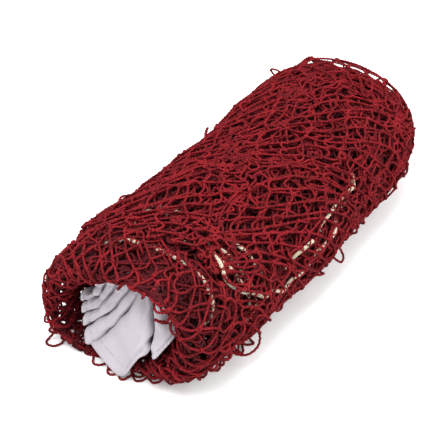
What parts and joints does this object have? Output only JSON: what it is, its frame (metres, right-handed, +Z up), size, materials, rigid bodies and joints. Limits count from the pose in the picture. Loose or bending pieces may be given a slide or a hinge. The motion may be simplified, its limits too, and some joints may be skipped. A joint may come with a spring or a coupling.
{
  "type": "tennis net",
  "caption": "Folded racket-sports net: dark red knotted netting wrapped round its pleated white headband, with cream edge ropes.",
  "frame": {"origin": "on the ground, under the middle of the folded bundle's box", "axes": "+X along the bundle from the open mouth to the closed far end, +Z up; the pleats' stack leans towards -Y at its top"},
  "size_m": [0.48, 0.204, 0.13],
  "materials": {
    "netting_twine": "matt twisted twine",
    "headband_fabric": "plain weave",
    "edge_rope": "braided",
    "head_cord": "braided",
    "sewing_thread": "twisted thread"
  },
  "bodies": {
    "root": {"head_cord": "head_cord", "headband": "headband_fabric", "headband_left_hem": "headband_fabric", "headband_right_hem": "headband_fabric", "headband_stitching": "sewing_thread", "hem_rope": "edge_rope", "hem_rope_lacing": "netting_twine", "left_side_rope": "edge_rope", "left_side_rope_lacing": "netting_twine", "netting_far_tuck": "netting_twine", "netting_inner_wrap": "netting_twine", "netting_lower_left_pack": "netting_twine", "netting_lower_right_pack": "netting_twine", "netting_mouth_floor": "netting_twine", "netting_mouth_left_wall": "netting_twine", "netting_mouth_right_roll": "netting_twine", "netting_mouth_top_roll": "netting_twine", "netting_outer_wrap": "netting_twine", "netting_upper_left_pack": "netting_twine", "netting_upper_right_pack": "netting_twine", "right_side_rope": "edge_rope", "right_side_rope_lacing": "netting_twine"}
  },
  "joints": []
}
